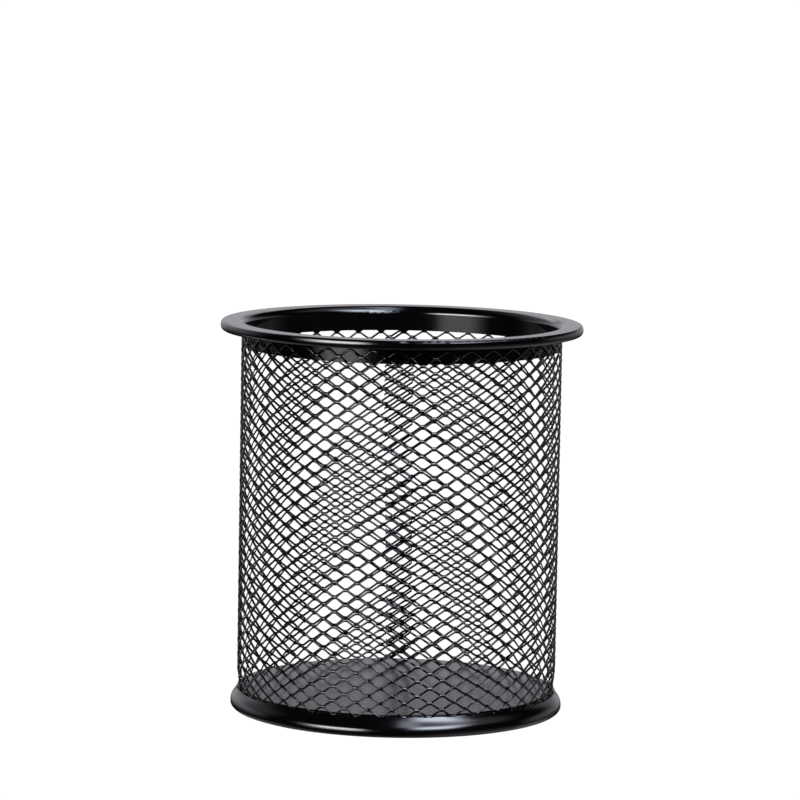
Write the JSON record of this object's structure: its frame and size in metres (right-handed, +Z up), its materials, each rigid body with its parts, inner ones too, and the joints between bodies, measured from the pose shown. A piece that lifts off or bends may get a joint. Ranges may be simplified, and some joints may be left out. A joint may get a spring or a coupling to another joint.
{
  "type": "pen holder cup",
  "caption": "Round open-topped desk cup of black expanded-steel mesh, with an outward flanged rim and a solid raised floor on a beaded foot ring.",
  "frame": {"origin": "middle of the foot ring's underside, on the surface the cup stands on", "axes": "+Z up along the cup's axis; X and Y are free, since the cup is round, and the mesh's lap seam is at +Y"},
  "size_m": [0.09, 0.09, 0.0968],
  "materials": {
    "rim_coat": "semi-gloss black powder coat on pressed steel",
    "mesh_coat": "semi-gloss black powder coat on expanded steel",
    "base_coat": "semi-gloss black powder coat on pressed steel, satin on the floor"
  },
  "bodies": {
    "root": {"top_rim": "rim_coat", "mesh_wall": "mesh_coat", "base_pan": "base_coat"}
  },
  "joints": []
}
